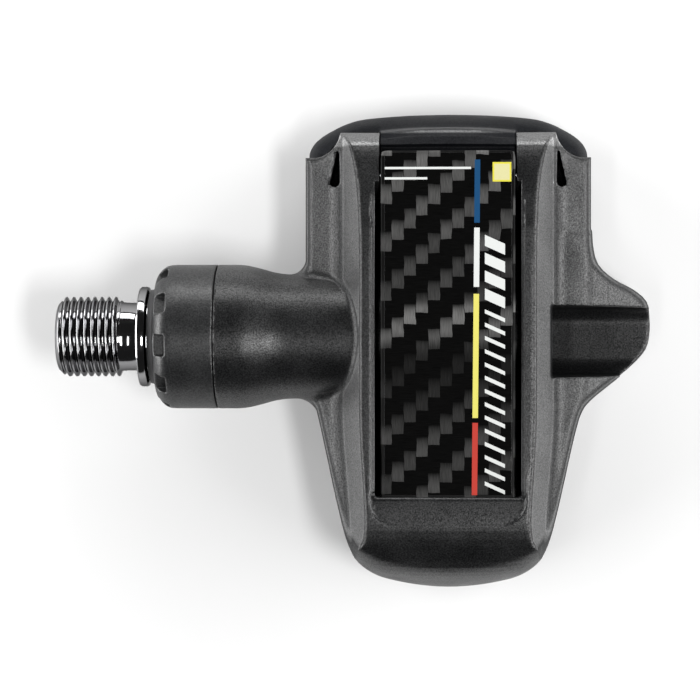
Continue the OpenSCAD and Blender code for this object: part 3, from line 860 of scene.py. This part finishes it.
def with_print(g, u, v, colour):
    """Prints the stripe, two rules, a marker square and a column of slanted bars, in mm across and along."""

    def rect(u0, u1, v0, v1, across=u):
        return g.product(g.band(across, u0, u1), g.band(v, v0, v1))

    lean = g.math("MULTIPLY_ADD", v, -0.009, u)
    for v0, v1, ink in STRIPE:
        colour = g.mix(rect(4.38, 5.34, v0, v1, lean), colour, ink)
    for u0, u1, v0, v1 in ((-11.3, 4.0, 29.1, 29.5), (-11.3, -3.6, 27.3, 27.7)):
        colour = g.mix(rect(u0, u1, v0, v1), colour, PRINT_WHITE)
    colour = g.mix(rect(7.75, 11.0, 26.9, 30.3), colour, (0.42, 0.38, 0.04))
    colour = g.mix(rect(8.05, 10.7, 27.2, 30.0), colour, (0.40, 0.38, 0.20))
    # the bars are heavy behind and light in front: pitch, share that is printed, first and last place
    slant = g.math("MULTIPLY_ADD", u, 0.45, v)
    bars = []
    for pitch, share, v0, v1 in ((3.1, 0.62, 9.3, 21.65), (2.3, 0.3, -23.05, 7.6)):
        phase = g.math("FRACT", g.math("DIVIDE", slant, pitch))
        bars.append(g.product(g.math("LESS_THAN", phase, share), g.band(u, 6.4, 9.9), g.band(slant, v0, v1)))
    return g.mix(g.math("MAXIMUM", *bars), colour, PRINT_WHITE)


def carbon_material(name, printed):
    """Twill laminate; the printed film is lacquered, and the bare blade is nearly matt."""
    g = Graph(name)
    u, v, _ = g.separate(g.node("ShaderNodeUVMap", uv_map="mm").outputs[0])
    colour, warp, fibres = weave(g, u, v)
    if printed:
        colour = with_print(g, u, v, colour)
    lacquer, lacquer_rough = (1.0, 0.06) if printed else (0.15, 0.4)
    g.set(Base_Color=colour, Roughness=g.span(fibres, 0.28, 0.42, 0.3, 0.7), Coat_Weight=lacquer,
          Coat_Roughness=lacquer_rough, Coat_IOR=1.5)
    g.bump(g.math("MULTIPLY_ADD", fibres, 0.3, warp), 0.3, 0.01 * MM)
    g.bsdf.inputs["Specular IOR Level"].default_value = 0.0
    return g.mat


composite = grained("composite", (0.0010, 0.0011, 0.0012), (0.008, 0.0082, 0.0086), 0.36,
                    [(0, 0.29), (0.05, 0.5), (0.085, 0.62), (0.14, 0.32), (0.22, 0.14), (0.34, 0.11),
                     (0.42, 0.3), (0.47, 0.85), (0.5, 1.3), (0.56, 0.85), (0.66, 0.08), (0.85, 0.03)],
                    [(0, 0.31), (0.15, 0.25), (0.3, 0.3), (0.5, 0.5), (0.66, 0.35), (0.85, 0.1)],
                    grain=0.26, height=0.03, speckle=0.5, zone=(33.7, 37, 2, 3.2))
jaw_composite = grained("jaw_composite", (0.002, 0.0022, 0.0027), (0.007, 0.0075, 0.009), 0.42,
                        [(0, 0.28), (0.094, 0.12), (0.3, 0.03), (0.5, 0.02), (0.66, 0.02), (0.85, 0.01)],
                        grain=0.26, height=0.02, speckle=0.3, zone=(36.0, 36.7, 5, 12.0))
nut_finish = grained("nut_finish", (0.003, 0.0032, 0.0034), (0.012, 0.0123, 0.0128), 0.4,
                     [(0, 0.36), (0.094, 0.34), (0.4, 0.38), (0.66, 0.3), (0.83, 0.18)],
                     grain=0.3, height=0.03, speckle=0.3)
chrome = metal("dark_chrome", (0.23, 0.23, 0.24), (0.28, 0.28, 0.28), 0.09, (0.1, 1, 1), 1500, 0.001, 0.02)
chrome.node_tree.nodes["Principled BSDF"].inputs["Specular Tint"].default_value = (0.3, 0.3, 0.3, 1)
bearing = metal("bearing_steel", (0.55, 0.55, 0.56), (0.66, 0.66, 0.67), 0.16, (1, 0.3, 0.3), 2500)
spring = metal("spring_steel", (0.16, 0.16, 0.17), (0.24, 0.24, 0.25), 0.3, (1, 1, 1), 1800)
plate_steel = metal("plate_steel", (0.50, 0.50, 0.50), (0.60, 0.60, 0.61), 0.3, (0.03, 1, 1), 2600, 0.004)
screw_steel = metal("screw_steel", (0.05, 0.05, 0.052), (0.09, 0.09, 0.093), 0.35, (1, 1, 1), 2200)
pin_steel = metal("pin_steel", (0.40, 0.40, 0.41), (0.52, 0.52, 0.53), 0.22, (0.08, 1, 1), 2400)
rubber = soft("seal_rubber", (0.008, 0.008, 0.009), 0.6)
nylon = soft("cage_nylon", (0.30, 0.20, 0.07), 0.45)
carbon = carbon_material("carbon", False)
film_finish = carbon_material("printed_film", True)


# ---------------------------------------------------------------- pieces


def paint(ob, mat):
    ob.data.materials.clear()
    ob.data.materials.append(mat)


def dress(ob, mat, slot_name, *nodes, body=None):
    """Gives a new piece its material, hides the nodes it stands for and attaches it to the body it rides on;
    slot_name is not used.
    """
    paint(ob, mat)
    if body:
        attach(ob, body)
    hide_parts(*nodes)


for name, field, lo, hi, pitches, mat, slot_name, node, body in (
        ("body_moulding", body_sdf, (13.4, -46, -18.4), (92.2, 37, 13.4), (0.5, 0.55),
         composite, "composite", "pedal_body", "pedal"),
        ("jaw_moulding", jaw_sdf, (28.5, 22.5, -18.3), (81.5, 41.3, 9.6), (0.36, 0.5),
         jaw_composite, "jaw_composite", "rear_jaw", "jaw"),
        ("nut_ring", nut_sdf, (2.1, -13.6, -13.6), (22.6, 13.6, 13.6), (0.32, 0.45),
         nut_finish, "nut_alloy", "sealing_nut", "pedal"),
        ("cleat_plate", plate_sdf, (20.6, -20.9, -11.3), (89.4, 16.3, -9.5), (0.33, 0.45),
         plate_steel, "plate_steel", "wear_plate", "pedal")):
    moulding = mesh_piece(name, *surface(field, lo, hi, pitches[0]))
    dress(moulding, mat, slot_name, node, body=body)
dress(spindle(), chrome, "spindle_steel", "axle", body="axle")

for ob, mat, slot_name, node in (
        (leaf("blade_leaf", 11.7, -33.35, 32.4, BLADE_R - BLADE_T, BLADE_R, edge=0.3, corner=0.8),
         carbon, "carbon", "carbon_blade"),
        (leaf("blade_print", 11.0, -27.6, 32.0, BLADE_R, BLADE_R + 0.05, edge=0.02),
         film_finish, "film", "blade_film")):
    dress(ob, mat, slot_name, node)
    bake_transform(ob)

for mat, slot_name, nodes in (
        (spring, "spring_steel", ("axle_circlip", "bearing_circlip", "bearing_shields")),
        (bearing, "bearing_steel", ("inner_race", "outer_race", "balls", "needle_cup", "needle_rollers")),
        (rubber, "seal_rubber", ("lip_seal", "nut_o_ring")),
        (nylon, "cage_nylon", ("ball_cage", "needle_cage")),
        (screw_steel, "screw_steel", ("plate_screws",)),
        (pin_steel, "pin_steel", ("jaw_pin",))):
    for node in nodes:
        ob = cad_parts[node]
        paint(ob, mat)
        ob.data.polygons.foreach_set("use_smooth", [True] * len(ob.data.polygons))
        ob.data.set_sharp_from_angle(angle=math.radians(30))


# ---------------------------------------------------------------- studio

floor_look = Graph("studio_floor")
floor_look.set(Base_Color=(0.52, 0.52, 0.52), Roughness=0.9)
bpy.ops.mesh.primitive_plane_add(size=6, location=(0.04, 0, cad_low[2] - 0.05 * MM))
studio_floor = bpy.context.object
studio_floor.name = "studio_floor"
studio_floor.data.materials.append(floor_look.mat)

world = bpy.data.worlds.new("studio")
bpy.context.scene.world = world
world.use_nodes = True
world.node_tree.nodes["Background"].inputs["Color"].default_value = (1, 1, 1, 1)
world.node_tree.nodes["Background"].inputs["Strength"].default_value = 0.035


def area(name, place, target, width, length, watts):
    """A soft box that faces a target, or straight down without one."""
    light = bpy.data.lights.new(name, "AREA")
    light.shape, light.size, light.size_y, light.energy = "RECTANGLE", width, length, watts
    ob = bpy.data.objects.new(name, light)
    bpy.context.scene.collection.objects.link(ob)
    ob.location = place
    if target:
        ob.rotation_euler = (Vector(target) - Vector(place)).to_track_quat("-Z", "Y").to_euler()


LIT = (0.04, 0, 0)
area("left_box", (-0.55, 0.02, 0.17), LIT, 0.9, 0.32, 12)
area("right_box", (0.65, 0.02, 0.17), LIT, 0.9, 0.32, 12)
area("rear_box", (0.05, 0.62, 0.17), LIT, 0.7, 0.22, 4.5)
area("barrel_box", (0.25, -0.12, 0.6), None, 0.09, 0.2, 2.8)
area("spindle_box", (-0.095, -0.17, 0.6), None, 0.05, 0.34, 0.6)

# the camera looks down at the blade from 440 mm, 2 degrees off square, with the jaw at the picture's top
eye, sight = Vector((0.0554, -0.0006, 0.44)), Vector((0.0375, -0.0024, 0))
cam_data = bpy.data.cameras.new("camera")
cam_data.sensor_width = 36
cam_data.lens = 126.7
cam = bpy.data.objects.new("camera", cam_data)
bpy.context.scene.collection.objects.link(cam)
away = (eye - sight).normalized()
right = Vector((0, 1, 0)).cross(away).normalized()
cam.matrix_world = Matrix((right, away.cross(right), away)).transposed().to_4x4()
cam.location = eye
bpy.context.scene.camera = cam
bpy.context.scene.view_settings.view_transform = "Standard"
